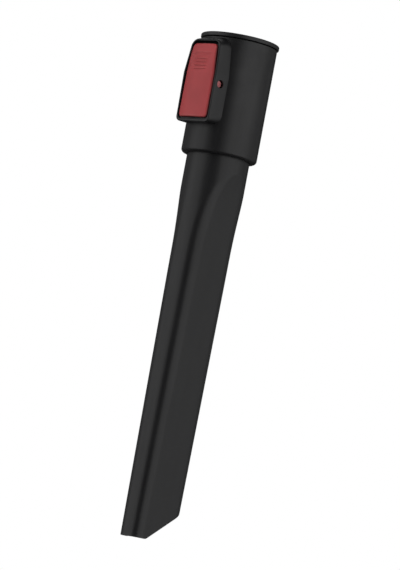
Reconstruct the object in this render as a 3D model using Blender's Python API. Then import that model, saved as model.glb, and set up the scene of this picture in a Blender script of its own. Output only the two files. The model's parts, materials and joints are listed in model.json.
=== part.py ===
"""Crevice tool for a cordless vacuum cleaner: a slotted nozzle in a latching socket collar.

Frame: the origin is the centre of the socket's mouth, +Z runs out of the mouth along the socket's
axis, and +X points at the release lever. The nozzle hangs below, along -Z. Units are metres.
"""

import math

import bmesh
import bpy
from mathutils import Matrix, Vector

MM = 0.001
GAP = 0.3 * MM  # between pieces that touch on the real tool

# Whole tool
TOOL_LENGTH = 276.0 * MM
ROUND_STEPS = 64

# Socket: a liner inside the collar, with a lip that covers the collar's end
BORE_RADIUS = 17.5 * MM
LINER_RADIUS = 18.6 * MM
LINER_LENGTH = 56.0 * MM
LIP_RADIUS = 21.6 * MM
LIP_HEIGHT = 2.3 * MM
LIP_ROUND = 0.7 * MM
LEAD_IN = 0.9 * MM
GUIDE_RIB_ANGLES = (60, 120, 240, 300)  # degrees from the lever
GUIDE_RIB_WIDTH = 1.2 * MM
GUIDE_RIB_HEIGHT = 0.5 * MM
GUIDE_RIB_TOP = -8.0 * MM

# Collar
COLLAR_RADIUS = 20.8 * MM
COLLAR_LENGTH = 66.0 * MM
COLLAR_FOOT_ROUND = 2.1 * MM
COLLAR_WALL = LINER_RADIUS + GAP  # inner radius
LEDGE_THICKNESS = 2.2 * MM

# Latch housing on the collar
HOUSING_FRONT = 26.2 * MM  # at its ridge, where the sides start to draw in
FRONT_FALLS = (0.02, 0.043)  # how fast the front falls back from there: downwards, upwards
HOUSING_HALF_WIDTH = 12.4 * MM  # at its front
HOUSING_TOP_HALF_WIDTH = 10.7 * MM
HOUSING_DRAFT = 0.0426  # gain in half width per length from its front back
HOUSING_BACK = 12.0 * MM  # inside the collar
HOUSING_TOP = -5.4 * MM
HOUSING_BOTTOM = -51.0 * MM
HOUSING_RAMP_RISE = 2.1 * MM  # its top wall climbs this much from the front to the collar
HOUSING_TOP_CORNER = 4.4 * MM
HOUSING_BOTTOM_CORNER = 2.6 * MM  # at its front
HOUSING_CORNER_GROWTH = 0.22  # how fast that corner's radius grows towards the collar
HOUSING_EDGE = 0.7 * MM
TAPER_START = -24.0 * MM  # above this the sides of the housing and the lever draw in
POCKET_FLOOR = 19.8 * MM
POCKET_GAP = 0.75 * MM
POCKET_END_GAP = 1.0 * MM  # above and below the lever, whose thumb end swings up as it goes in

# Release lever
PIVOT = Vector((21.7, 0.0, -29.4)) * MM
PRESS_ANGLE = math.radians(8.0)
LEVER_FACE = 27.25 * MM  # along its middle
FACE_CROWN = 1.05 * MM  # the sides of the face lie this much lower
CROWN_POWER = 2.5
FACE_BEND = -16.0 * MM  # above this the face curves back to its thumb end
FACE_DROP = 0.8 * MM
LEVER_HALF_WIDTH = 10.45 * MM
LEVER_TOP_HALF_WIDTH = 8.7 * MM
LEVER_TOP = -7.9 * MM
LEVER_BOTTOM = -48.7 * MM
LEVER_TOP_CORNER = 2.5 * MM
LEVER_BOTTOM_CORNER = 1.9 * MM
PLATE_BACK = 24.8 * MM
FRAME_BACK = 23.0 * MM
FRAME_INSET = 1.4 * MM  # of the lever's inner frame from the plate's outline
FRAME_WALL = 1.4 * MM

# Thumb dish in the face, and its grip ribs
DISH_TOP = -12.5 * MM
DISH_BOTTOM = -25.0 * MM
DISH_DEPTH = 0.6 * MM
DISH_HALF_WIDTH = 7.8 * MM
DISH_WALL = 2.2 * MM  # its top wall and side walls slope over this width
RIB_PITCH = 1.9 * MM
RIB_FIRST = -16.2 * MM
RIB_COUNT = 4
RIB_HALF_LENGTH = 4.3 * MM
RIB_RADIUS = 0.45 * MM
RIB_SINK = 0.05 * MM  # of a rib's axis below the dish

# Pivot pin, its hole in the housing, and the lugs that hold it
PIN_RADIUS = 1.85 * MM
PIN_HALF_LENGTH = 11.4 * MM
PIN_CHAMFER = 0.4 * MM
PIN_HOLE_RADIUS = 2.25 * MM
LUG_BORE_RADIUS = 1.9 * MM
LUG_RADIUS = 3.2 * MM
LUG_INNER = 7.4 * MM
LUG_OUTER = 8.9 * MM
PIN_STEPS = 32

# Latch hook: an arm through windows in the collar and the liner
HOOK_TOP = -44.0 * MM
HOOK_BOTTOM = -47.7 * MM
HOOK_HALF_WIDTH = 4.4 * MM
HOOK_NOSE = 15.4 * MM
STOP_HALF_WIDTH = 7.0 * MM
STOP_FOOT = POCKET_FLOOR + GAP
WINDOW_HALF_WIDTH = 5.4 * MM
WINDOW_TOP = -42.6 * MM
WINDOW_BOTTOM = -49.6 * MM

# Return spring, radial, under the thumb dish
SPRING_Z = -16.2 * MM
SPRING_MEAN_RADIUS = 2.4 * MM
WIRE_RADIUS = 0.25 * MM
SPRING_TURNS = 5
SPRING_POINTS_PER_TURN = 12
SPRING_SEAT_RADIUS = 3.3 * MM
SPRING_SEAT = 19.4 * MM
SPRING_BOSS_RADIUS = 1.7 * MM
SPRING_BOSS_LENGTH = 1.2 * MM

# Seals
SEAL_BOTTOM = -60.3 * MM
GASKET_BOTTOM = -63.5 * MM
GASKET_THICKNESS = 0.8 * MM

# Nozzle
NECK_RADIUS = 17.2 * MM
NECK_WALL = 1.9 * MM
FLANGE_BOTTOM = -62.4 * MM
FLANGE_TOP = -60.6 * MM
STOP_RING_RADIUS = 16.7 * MM
STOP_RING_TOP = -60.2 * MM
WAIST_HALF_WIDTH = 16.9 * MM  # where the scoop ends
TIP_HALF_WIDTH = 16.45 * MM
TIP_HALF_THICKNESS = 7.5 * MM
FLAT_DRAFT = 0.0175  # gain in half thickness per length, from the tip up
EDGE_RADII = (8.3 * MM, 5.8 * MM)  # between flat and round: at the neck, at the tip
TIP_WALL = 1.5 * MM
SCOOP_TOP = -74.0 * MM
SCOOP_END = -120.0 * MM
SCOOP_POWER = 2.3  # how it curves out of the flat into the round neck
TIP_FLAT_EDGE = 8.4 * MM  # where the square end stops and the slanting cut starts
TIP_SLANT = math.radians(35.8)
TIP_CORNER = 3.0 * MM


def clear_scene():
    for obj in list(bpy.data.objects):
        bpy.data.objects.remove(obj, do_unlink=True)


def material(name, colour, roughness, metallic=0.0):
    made = bpy.data.materials.new(name)
    made.use_nodes = True
    shader = made.node_tree.nodes["Principled BSDF"]
    shader.inputs["Base Color"].default_value = (*colour, 1.0)
    shader.inputs["Roughness"].default_value = roughness
    shader.inputs["Metallic"].default_value = metallic
    return made


def add_object(name, bm, finish=None, smooth_below=35.0):
    """The bmesh as a scene object, its normals outward and its round faces smooth."""
    bmesh.ops.recalc_face_normals(bm, faces=bm.faces)
    mesh = bpy.data.meshes.new(name)
    bm.to_mesh(mesh)
    bm.free()
    mesh.shade_smooth()
    mesh.set_sharp_from_angle(angle=math.radians(smooth_below))
    obj = bpy.data.objects.new(name, mesh)
    bpy.context.scene.collection.objects.link(obj)
    if finish:
        mesh.materials.append(finish)
    return obj


def boolean(target, other, operation):
    """Joins another object to the target or cuts it away, and leaves it in the scene as a hidden helper."""
    other.hide_render = True
    other.display_type = "WIRE"
    modifier = target.modifiers.new(operation.title() + "_" + other.name, "BOOLEAN")
    modifier.operation = operation
    modifier.solver = "EXACT"
    modifier.object = other


def hang(obj, pivot):
    """The object on an empty at its pivot, and with its own origin there, its shape left where it is."""
    obj.data.transform(Matrix.Translation(-PIVOT))
    obj.parent = pivot


def box(name, low, high):
    bm = bmesh.new()
    centre = (Vector(low) + Vector(high)) / 2
    size = Vector(high) - Vector(low)
    bmesh.ops.create_cube(bm, size=1.0, matrix=Matrix.Translation(centre) @ Matrix.Diagonal((*size, 1.0)))
    return add_object(name, bm)


def rod(name, radius, start, end, steps=PIN_STEPS, chamfer=0.0, finish=None):
    """A cylinder from start to end, with its two rims chamfered if asked."""
    bm = bmesh.new()
    axis = Vector(end) - Vector(start)
    turn = axis.to_track_quat("Z", "X").to_matrix().to_4x4()
    place = Matrix.Translation((Vector(start) + Vector(end)) / 2) @ turn
    bmesh.ops.create_cone(
        bm, cap_ends=True, segments=steps, radius1=radius, radius2=radius, depth=axis.length, matrix=place
    )
    if chamfer:
        rims = [e for e in bm.edges if any(len(f.verts) == steps for f in e.link_faces)]
        bmesh.ops.bevel(bm, geom=rims, offset=chamfer, segments=2, profile=0.5, affect="EDGES")
    return add_object(name, bm, finish)


def turned(name, profile, finish=None):
    """A ring turned round Z from a closed profile of (radius, height) points."""
    bm = bmesh.new()
    verts = [bm.verts.new((radius, 0.0, height)) for radius, height in profile]
    edges = [bm.edges.new((a, b)) for a, b in zip(verts, verts[1:] + verts[:1])]
    bmesh.ops.spin(
        bm,
        geom=verts + edges,
        axis=(0, 0, 1),
        cent=(0, 0, 0),
        steps=ROUND_STEPS,
        angle=2 * math.pi,
        use_merge=True,
    )
    bmesh.ops.remove_doubles(bm, verts=bm.verts, dist=1e-7)
    return add_object(name, bm, finish)


def rounded_outline(corners, steps=4):
    """A closed outline from (a, b, radius) corners, each with its corner turned into an arc."""
    outline = []
    for index, (a, b, radius) in enumerate(corners):
        here = Vector((a, b))
        before = (Vector(corners[index - 1][:2]) - here).normalized()
        after = (Vector(corners[(index + 1) % len(corners)][:2]) - here).normalized()
        if not radius:
            outline.append(here)
            continue
        half = before.angle(after) / 2
        centre = here + (before + after).normalized() * (radius / math.sin(half))
        first = here + before * (radius / math.tan(half)) - centre
        sweep = first.angle_signed(here + after * (radius / math.tan(half)) - centre)
        for step in range(steps + 1):
            turn = Matrix.Rotation(-sweep * step / steps, 2)
            outline.append(centre + turn @ first)
    return outline


def loft(rings, closed=False):
    """A bmesh through rings of points, one point of each ring above the next. Its ends are capped, or joined."""
    bm = bmesh.new()
    loops = [[bm.verts.new(point) for point in ring] for ring in rings]
    pairs = list(zip(loops, loops[1:]))
    if closed:
        pairs.append((loops[-1], loops[0]))
    else:
        bm.faces.new(loops[0])
        bm.faces.new(loops[-1])
    count = len(loops[0])
    for lower, upper in pairs:
        for i in range(count):
            j = (i + 1) % count
            bm.faces.new((lower[i], lower[j], upper[j], upper[i]))
    return bm


def radial_prism(name, outline, back, front, finish=None):
    """A block extruded along X from an outline in Y and Z."""
    bm = loft([[(x, p.x, p.y) for p in outline] for x in (back, front)])
    return add_object(name, bm, finish)


def side_prism(name, outline, half_width):
    """A block extruded along Y, both ways, from an outline in X and Z."""
    bm = loft([[(p.x, y, p.y) for p in outline] for y in (-half_width, half_width)])
    return add_object(name, bm)


def plate_outline(grow=0.0, grow_ends=0.0):
    """The lever's outline seen from the front, in Y and Z, grown on all sides and again at both ends."""
    wide, narrow = LEVER_HALF_WIDTH + grow, LEVER_TOP_HALF_WIDTH + grow
    low, high = LEVER_BOTTOM - grow - grow_ends, LEVER_TOP + grow + grow_ends
    bottom_corner, top_corner = (max(r + grow, 0.3 * MM) for r in (LEVER_BOTTOM_CORNER, LEVER_TOP_CORNER))
    return rounded_outline(
        [
            (-wide, low, bottom_corner),
            (wide, low, bottom_corner),
            (wide, TAPER_START, 0),
            (narrow, high, top_corner),
            (-narrow, high, top_corner),
            (-wide, TAPER_START, 0),
        ]
    )


# ---------------------------------------------------------------- nozzle


def tapered(z, at_neck, at_tip):
    """A size that changes evenly from the neck, at the flange, down to the tip."""
    share = (FLANGE_BOTTOM - z) / (TOOL_LENGTH + FLANGE_BOTTOM)
    return at_neck + (at_tip - at_neck) * min(1.0, max(0.0, share))


def scoop_share(z):
    """0 below the scoop, and 1 at its top, where the flats run out into the round neck."""
    return min(1.0, max(0.0, (z - SCOOP_END) / (SCOOP_TOP - SCOOP_END)))


def half_thickness(z):
    """How far each flat stands from the axis: a drafted plane that curves away along the scoop."""
    plane = TIP_HALF_THICKNESS + FLAT_DRAFT * (z + TOOL_LENGTH)
    plane_at_top = TIP_HALF_THICKNESS + FLAT_DRAFT * (SCOOP_TOP + TOOL_LENGTH)
    return plane + (NECK_RADIUS - plane_at_top) * scoop_share(z) ** SCOOP_POWER


def half_width(z):
    """How far each narrow side stands from the axis: from the waist it draws out a little to the tip."""
    if z < SCOOP_END:
        share = (z + TOOL_LENGTH) / (SCOOP_END + TOOL_LENGTH)
        return TIP_HALF_WIDTH + (WAIST_HALF_WIDTH - TIP_HALF_WIDTH) * share
    share = scoop_share(z)
    return WAIST_HALF_WIDTH + (NECK_RADIUS - WAIST_HALF_WIDTH) * share * share * (3 - 2 * share)


def section(z, wall):
    """One ring of the nozzle at height z: a circle cut by flats, its edges rounded, and moved in by wall.

    The shape is a smaller core with a band of the edge's radius round it. Point i of every ring faces the same
    way, so the rings join into clean strips."""
    edge = tapered(z, *EDGE_RADII)
    core = NECK_RADIUS - edge
    x_limit = half_width(z) - edge
    y_limit = half_thickness(z) - edge
    ring = []
    for step in range(ROUND_STEPS):
        angle = 2 * math.pi * (step + 0.5) / ROUND_STEPS
        facing = Vector((math.cos(angle), math.sin(angle)))
        x, y = core * abs(facing.x), core * abs(facing.y)
        if y > y_limit:
            y = y_limit
            x = math.sqrt(core * core - y * y)
        if x > x_limit:
            x = x_limit
            y = min(y_limit, math.sqrt(core * core - x * x))
        band = (edge - wall) * facing
        ring.append((math.copysign(x, facing.x) + band.x, math.copysign(y, facing.y) + band.y, z))
    return ring


def circle(radius, z):
    angles = [2 * math.pi * (step + 0.5) / ROUND_STEPS for step in range(ROUND_STEPS)]
    return [(radius * math.cos(a), radius * math.sin(a), z) for a in angles]


def nozzle_heights():
    """Heights of the rings, close together along the scoop and far apart below it."""
    steps = 11
    scoop = [SCOOP_TOP + (SCOOP_END - SCOOP_TOP) * (step / steps) ** 1.3 for step in range(steps + 1)]
    return scoop + [-TOOL_LENGTH - 1.0 * MM]


def make_nozzle(finish):
    heights = nozzle_heights()
    neck_bore = NECK_RADIUS - NECK_WALL
    rings = [section(z, tapered(z, NECK_WALL, TIP_WALL)) for z in reversed(heights)]
    rings += [
        circle(neck_bore, STOP_RING_TOP),
        circle(STOP_RING_RADIUS, STOP_RING_TOP),
        circle(STOP_RING_RADIUS, FLANGE_TOP),
        circle(LINER_RADIUS, FLANGE_TOP),
        circle(LINER_RADIUS, FLANGE_BOTTOM),
        circle(NECK_RADIUS, FLANGE_BOTTOM),
    ]
    rings += [section(z, 0.0) for z in heights]
    nozzle = add_object("nozzle", loft(rings, closed=True), finish)

    beyond = TIP_HALF_WIDTH + 5 * MM
    rise = (TIP_FLAT_EDGE + TIP_HALF_WIDTH) * math.tan(TIP_SLANT)
    far_rise = (TIP_FLAT_EDGE + beyond) * math.tan(TIP_SLANT)
    cut = rounded_outline(
        [
            (beyond, -TOOL_LENGTH, 0),
            (beyond, -TOOL_LENGTH - 10 * MM, 0),
            (-beyond, -TOOL_LENGTH - 10 * MM, 0),
            (-beyond, -TOOL_LENGTH + far_rise, 0),
            (TIP_FLAT_EDGE, -TOOL_LENGTH, TIP_CORNER),
        ]
    )
    boolean(nozzle, side_prism("tip_cutter", cut, beyond), "DIFFERENCE")
    toe_z = -TOOL_LENGTH + rise
    toe = rounded_outline(
        [
            (-TIP_HALF_WIDTH - TIP_CORNER, toe_z - TIP_CORNER, 0),
            (-TIP_HALF_WIDTH + TIP_CORNER * 0.4, toe_z - TIP_CORNER, 0),
            (-TIP_HALF_WIDTH - TIP_CORNER, toe_z + TIP_CORNER, 0),
        ]
    )
    boolean(nozzle, side_prism("toe_cutter", toe, beyond), "DIFFERENCE")
    return nozzle


# ---------------------------------------------------------------- collar, liner and seals


def make_liner(finish):
    liner = turned(
        "mouth_sleeve",
        [
            (BORE_RADIUS, -LINER_LENGTH),
            (LINER_RADIUS, -LINER_LENGTH),
            (LINER_RADIUS, -LIP_HEIGHT),
            (LIP_RADIUS - LIP_ROUND, -LIP_HEIGHT),
            (LIP_RADIUS, -LIP_HEIGHT + LIP_ROUND),
            (LIP_RADIUS, -LIP_ROUND),
            (LIP_RADIUS - LIP_ROUND * 0.3, -LIP_ROUND * 0.3),
            (LIP_RADIUS - LIP_ROUND, 0.0),
            (BORE_RADIUS + LEAD_IN, 0.0),
            (BORE_RADIUS, -LEAD_IN),
        ],
        finish,
    )
    for number, degrees in enumerate(GUIDE_RIB_ANGLES):
        rib = box(
            f"guide_rib_{number}",
            (BORE_RADIUS - GUIDE_RIB_HEIGHT, -GUIDE_RIB_WIDTH / 2, -LINER_LENGTH + 2 * MM),
            (BORE_RADIUS + 0.5 * MM, GUIDE_RIB_WIDTH / 2, GUIDE_RIB_TOP),
        )
        rib.rotation_euler.z = math.radians(degrees)
        boolean(liner, rib, "UNION")
    window = box(
        "liner_window",
        (BORE_RADIUS - 4 * MM, -WINDOW_HALF_WIDTH, WINDOW_BOTTOM),
        (LINER_RADIUS + 2 * MM, WINDOW_HALF_WIDTH, WINDOW_TOP),
    )
    boolean(liner, window, "DIFFERENCE")
    return liner


def make_seals(finish):
    turned(
        "socket_seal",
        [
            (STOP_RING_RADIUS + GAP, SEAL_BOTTOM),
            (LINER_RADIUS, SEAL_BOTTOM),
            (LINER_RADIUS, -LINER_LENGTH - GAP),
            (BORE_RADIUS - 0.2 * MM, -LINER_LENGTH - GAP),
            (BORE_RADIUS - 0.8 * MM, SEAL_BOTTOM + 2.0 * MM),
            (BORE_RADIUS - 0.45 * MM, SEAL_BOTTOM + 1.7 * MM),
            (BORE_RADIUS + 0.2 * MM, SEAL_BOTTOM + 2.9 * MM),
            (BORE_RADIUS + 0.2 * MM, SEAL_BOTTOM + 1.1 * MM),
            (STOP_RING_RADIUS + GAP, SEAL_BOTTOM + 0.7 * MM),
        ],
        finish,
    )
    top = GASKET_BOTTOM + GASKET_THICKNESS
    inner = NECK_RADIUS + GAP
    turned(
        "nozzle_gasket",
        [(inner, GASKET_BOTTOM), (LINER_RADIUS, GASKET_BOTTOM), (LINER_RADIUS, top), (inner, top)],
        finish,
    )


def housing_outline(x, inset):
    """The housing's outline in Y and Z at depth x, moved in by inset: its top climbs towards the collar."""
    behind = HOUSING_FRONT - x
    spread = HOUSING_DRAFT * behind - inset
    wide, narrow = HOUSING_HALF_WIDTH + spread, HOUSING_TOP_HALF_WIDTH + spread
    climb = HOUSING_RAMP_RISE * min(1.0, behind / (HOUSING_FRONT - COLLAR_RADIUS))
    low, high = HOUSING_BOTTOM + inset, HOUSING_TOP + climb - inset
    bottom_corner = HOUSING_BOTTOM_CORNER + HOUSING_CORNER_GROWTH * behind - inset
    top_corner = HOUSING_TOP_CORNER - inset
    return rounded_outline(
        [
            (-wide, low, bottom_corner),
            (wide, low, bottom_corner),
            (wide, TAPER_START, 0),
            (narrow, high, top_corner),
            (-narrow, high, top_corner),
            (-wide, TAPER_START, 0),
        ]
    )


def front_fall(z):
    """How far the housing's front lies behind its ridge at height z."""
    below, above = FRONT_FALLS
    return below * max(0.0, TAPER_START - z) + above * max(0.0, z - TAPER_START)


def housing_block():
    """The raised housing before its pocket is cut: slices from inside the collar out to its rounded front rim."""
    slices = [(HOUSING_BACK, 0.0), (COLLAR_RADIUS, 0.0)]
    for angle in (0.0, math.pi / 6, math.pi / 3, math.pi / 2):
        x = HOUSING_FRONT - HOUSING_EDGE * (1 - math.sin(angle))
        slices.append((x, HOUSING_EDGE * (1 - math.cos(angle))))
    bm = loft([[(x - front_fall(p.y), p.x, p.y) for p in housing_outline(x, inset)] for x, inset in slices])
    front = max((face for face in bm.faces if len(face.verts) > 4), key=lambda face: face.calc_center_median().x)
    ridge = [vert for vert in front.verts if abs(vert.co.z - TAPER_START) < 0.01 * MM]
    bmesh.utils.face_split(front, *ridge)
    return add_object("housing_block", bm)


def make_collar(finish):
    top = -LIP_HEIGHT - GAP
    foot = -COLLAR_LENGTH
    soft = COLLAR_FOOT_ROUND
    shell = turned(
        "collar",
        [
            (5 * MM, foot),
            (COLLAR_RADIUS - soft, foot),
            (COLLAR_RADIUS - soft * 0.5, foot + soft * 0.134),
            (COLLAR_RADIUS - soft * 0.134, foot + soft * 0.5),
            (COLLAR_RADIUS, foot + soft),
            (COLLAR_RADIUS, top),
            (5 * MM, top),
        ],
        finish,
    )
    boolean(shell, housing_block(), "UNION")
    bore = rod("collar_bore", COLLAR_WALL, (0, 0, foot + LEDGE_THICKNESS), (0, 0, top + 5 * MM), ROUND_STEPS)
    boolean(shell, bore, "DIFFERENCE")
    neck_hole = rod("neck_hole", NECK_RADIUS + GAP, (0, 0, foot - 5 * MM), (0, 0, top), ROUND_STEPS)
    boolean(shell, neck_hole, "DIFFERENCE")
    for cutter in pocket_cutters():
        boolean(shell, cutter, "DIFFERENCE")
    return shell


def pocket_cutters():
    """Everything cut from the housing: room for the lever at rest and pressed, and seats for its pin and spring."""
    deep = plate_outline(POCKET_GAP - FRAME_INSET, POCKET_END_GAP - POCKET_GAP)
    well = radial_prism("pocket_well", deep, POCKET_FLOOR, LEVER_FACE + 5 * MM)
    wide = plate_outline(POCKET_GAP, POCKET_END_GAP - POCKET_GAP)
    resting = radial_prism("pocket_at_rest", wide, PLATE_BACK - GAP, LEVER_FACE + 5 * MM)
    swung = plate_outline(POCKET_GAP)
    pressed = radial_prism("pocket_pressed", swung, PLATE_BACK - GAP, LEVER_FACE + 5 * MM)
    turn = Matrix.Rotation(-PRESS_ANGLE, 4, "Y")
    pressed.matrix_world = Matrix.Translation(PIVOT) @ turn @ Matrix.Translation(-PIVOT)
    window = box(
        "collar_window",
        (COLLAR_WALL - 3 * MM, -WINDOW_HALF_WIDTH, WINDOW_BOTTOM),
        (POCKET_FLOOR + 1 * MM, WINDOW_HALF_WIDTH, WINDOW_TOP),
    )
    reach = LUG_OUTER + 2 * GAP
    trough = box(
        "pin_trough",
        (PIVOT.x - PIN_RADIUS - 1.5 * GAP, -reach, PIVOT.z - PIN_RADIUS - 0.8 * MM),
        (PIVOT.x, reach, PIVOT.z + PIN_RADIUS + 0.8 * MM),
    )
    reliefs = [
        rod(
            f"lug_relief_{side}",
            LUG_RADIUS + GAP,
            (PIVOT.x, sign * (LUG_INNER - GAP), PIVOT.z),
            (PIVOT.x, sign * reach, PIVOT.z),
        )
        for side, sign in (("left", -1), ("right", 1))
    ]
    beyond = HOUSING_HALF_WIDTH + 2 * MM
    pin_hole = rod("pin_hole", PIN_HOLE_RADIUS, (PIVOT.x, -beyond, PIVOT.z), (PIVOT.x, beyond, PIVOT.z))
    seat = rod("spring_seat", SPRING_SEAT_RADIUS, (SPRING_SEAT, 0, SPRING_Z), (HOUSING_FRONT, 0, SPRING_Z))
    return [well, resting, pressed, window, trough, *reliefs, pin_hole, seat]


# ---------------------------------------------------------------- lever, pin and spring


def ease(low, high, value):
    """0 at low, 1 at high, and smooth between them."""
    share = min(1.0, max(0.0, (value - low) / (high - low)))
    return share * share * (3 - 2 * share)


def face_height(y, z):
    """X of the lever's face: crowned across, curved back at its thumb end, and hollowed by the thumb dish."""
    crown = FACE_CROWN * abs(y / LEVER_HALF_WIDTH) ** CROWN_POWER
    bend = max(0.0, (z - FACE_BEND) / (LEVER_TOP - FACE_BEND))
    across = 1 - ease(DISH_HALF_WIDTH - DISH_WALL, DISH_HALF_WIDTH, abs(y))
    below_top = 1 - ease(DISH_TOP - DISH_WALL, DISH_TOP, z)
    fading = min(1.0, max(0.0, (z - DISH_BOTTOM) / (DISH_TOP - DISH_BOTTOM)))
    return LEVER_FACE - crown - FACE_DROP * bend**2 - DISH_DEPTH * across * below_top * fading


def face_cutter():
    """Everything in front of the lever's face, as a block whose back follows the face."""
    inner = [DISH_HALF_WIDTH - DISH_WALL, DISH_HALF_WIDTH, 9.5 * MM, LEVER_HALF_WIDTH + 1 * MM]
    across = [-y for y in reversed(inner)] + [-3 * MM, 0.0, 3 * MM] + inner
    up = [LEVER_BOTTOM - 1 * MM, DISH_BOTTOM, -19 * MM, FACE_BEND, DISH_TOP - DISH_WALL, DISH_TOP]
    up += [-11 * MM, -9.5 * MM, LEVER_TOP + 1 * MM]
    clear = LEVER_FACE + 3 * MM
    bm = bmesh.new()
    back = [[bm.verts.new((face_height(y, z), y, z)) for y in across] for z in up]
    front = [[bm.verts.new((clear, y, z)) for y in across] for z in up]
    for row in range(len(up) - 1):
        for col in range(len(across) - 1):
            for sheet in (back, front):
                low, high = sheet[row], sheet[row + 1]
                bm.faces.new((low[col], low[col + 1], high[col + 1]))
                bm.faces.new((low[col], high[col + 1], high[col]))
    inside, outside = (
        sheet[0] + [row[-1] for row in sheet[1:]] + sheet[-1][-2::-1] + [row[0] for row in sheet[-2:0:-1]]
        for sheet in (back, front)
    )
    for i in range(len(inside)):
        bm.faces.new((inside[i - 1], inside[i], outside[i], outside[i - 1]))
    return add_object("face_cutter", bm)


def make_lever(finish):
    plate = radial_prism("release_lever", plate_outline(), PLATE_BACK, LEVER_FACE + 1 * MM, finish=finish)
    boolean(plate, face_cutter(), "DIFFERENCE")
    for number in range(RIB_COUNT):
        z = RIB_FIRST - RIB_PITCH * number
        x = face_height(0.0, z) - RIB_SINK
        rib = rod(f"grip_rib_{number}", RIB_RADIUS, (x, -RIB_HALF_LENGTH, z), (x, RIB_HALF_LENGTH, z), 10)
        boolean(plate, rib, "UNION")

    inside_plate = PLATE_BACK + 0.6 * MM
    frame = radial_prism("lever_frame", plate_outline(-FRAME_INSET), FRAME_BACK, inside_plate)
    inner_outline = plate_outline(-FRAME_INSET - FRAME_WALL)
    hollow = radial_prism("lever_hollow", inner_outline, FRAME_BACK - 1 * MM, inside_plate + 1 * MM)
    boolean(frame, hollow, "DIFFERENCE")
    boolean(plate, frame, "UNION")

    for side, sign in (("left", -1), ("right", 1)):
        faces = (sign * LUG_INNER, sign * LUG_OUTER)
        start, end = ((PIVOT.x, y, PIVOT.z) for y in faces)
        boolean(plate, rod(f"lug_{side}", LUG_RADIUS, start, end), "UNION")
        web = box(
            f"lug_web_{side}",
            (PIVOT.x, min(faces) + 0.1 * MM, PIVOT.z - LUG_RADIUS + 0.1 * MM),
            (inside_plate, max(faces) - 0.1 * MM, PIVOT.z + LUG_RADIUS - 0.1 * MM),
        )
        boolean(plate, web, "UNION")

    arm = side_prism(
        "hook_arm",
        [
            Vector((inside_plate, HOOK_TOP)),
            Vector((BORE_RADIUS + 0.2 * MM, HOOK_TOP)),
            Vector((HOOK_NOSE + 0.3 * MM, HOOK_TOP - 2.0 * MM)),
            Vector((HOOK_NOSE, HOOK_TOP - 2.6 * MM)),
            Vector((HOOK_NOSE, HOOK_BOTTOM + 0.3 * MM)),
            Vector((HOOK_NOSE + 0.3 * MM, HOOK_BOTTOM)),
            Vector((inside_plate, HOOK_BOTTOM)),
        ],
        HOOK_HALF_WIDTH,
    )
    boolean(plate, arm, "UNION")
    stop = box(
        "lever_stop",
        (STOP_FOOT, -STOP_HALF_WIDTH, HOOK_BOTTOM + 1.2 * MM),
        (inside_plate, STOP_HALF_WIDTH, HOOK_TOP - 1.2 * MM),
    )
    boolean(plate, stop, "UNION")
    boss = rod(
        "spring_boss",
        SPRING_BOSS_RADIUS,
        (PLATE_BACK - SPRING_BOSS_LENGTH, 0, SPRING_Z),
        (inside_plate, 0, SPRING_Z),
        16,
    )
    boolean(plate, boss, "UNION")
    beyond = LEVER_HALF_WIDTH + 2 * MM
    bore = rod("lug_bore", LUG_BORE_RADIUS, (PIVOT.x, -beyond, PIVOT.z), (PIVOT.x, beyond, PIVOT.z))
    boolean(plate, bore, "DIFFERENCE")
    return plate


def make_pin(finish):
    start = (PIVOT.x, -PIN_HALF_LENGTH, PIVOT.z)
    end = (PIVOT.x, PIN_HALF_LENGTH, PIVOT.z)
    return rod("pivot_pin", PIN_RADIUS, start, end, PIN_STEPS, PIN_CHAMFER, finish)


def make_spring(finish):
    """A compression coil with closed ends, from its seat in the collar to the back of the lever's plate."""
    curve = bpy.data.curves.new("return_spring", "CURVE")
    curve.dimensions = "3D"
    curve.bevel_depth = WIRE_RADIUS
    curve.bevel_resolution = 1
    curve.use_fill_caps = True
    low = SPRING_SEAT + WIRE_RADIUS + 0.1 * MM
    high = PLATE_BACK - WIRE_RADIUS - 0.1 * MM
    count = SPRING_TURNS * SPRING_POINTS_PER_TURN
    closed = 1 / SPRING_TURNS  # share of the coil that lies flat at each end
    lift = 2.2 * WIRE_RADIUS  # a closed turn's own rise
    path = curve.splines.new("POLY")
    path.points.add(count)
    for index, point in enumerate(path.points):
        share = index / count
        turn = 2 * math.pi * SPRING_TURNS * share
        if share < closed:
            x = low + lift * share / closed
        elif share > 1 - closed:
            x = high - lift * (1 - share) / closed
        else:
            x = low + lift + (high - low - 2 * lift) * (share - closed) / (1 - 2 * closed)
        point.co = (x, SPRING_MEAN_RADIUS * math.cos(turn), SPRING_Z + SPRING_MEAN_RADIUS * math.sin(turn), 1.0)
    curve.materials.append(finish)
    spring = bpy.data.objects.new("return_spring", curve)
    bpy.context.scene.collection.objects.link(spring)
    return spring


def main():
    clear_scene()
    black = material("black_plastic", (0.03, 0.03, 0.032), 0.42)
    red = material("red_plastic", (0.33, 0.055, 0.06), 0.38)
    rubber = material("seal_rubber", (0.02, 0.02, 0.02), 0.8)
    steel = material("spring_steel", (0.6, 0.6, 0.62), 0.3, 1.0)
    make_nozzle(black)
    make_collar(black)
    make_liner(black)
    make_seals(rubber)
    pivot = bpy.data.objects.new("lever_pivot", None)
    pivot.location = PIVOT
    bpy.context.scene.collection.objects.link(pivot)
    hang(make_lever(red), pivot)
    hang(make_pin(red), pivot)
    make_spring(steel)


main()
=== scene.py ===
"""The looks of the vacuum crevice tool: fine meshes, materials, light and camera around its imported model.

Lengths are in metres. +Z runs out of the socket's mouth, and +X points at the release lever. Overall sizes come
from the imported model's own boxes; the rest are the design's dimensions.
"""

import json
import math

import bmesh
import bpy
from mathutils import Matrix, Vector


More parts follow.
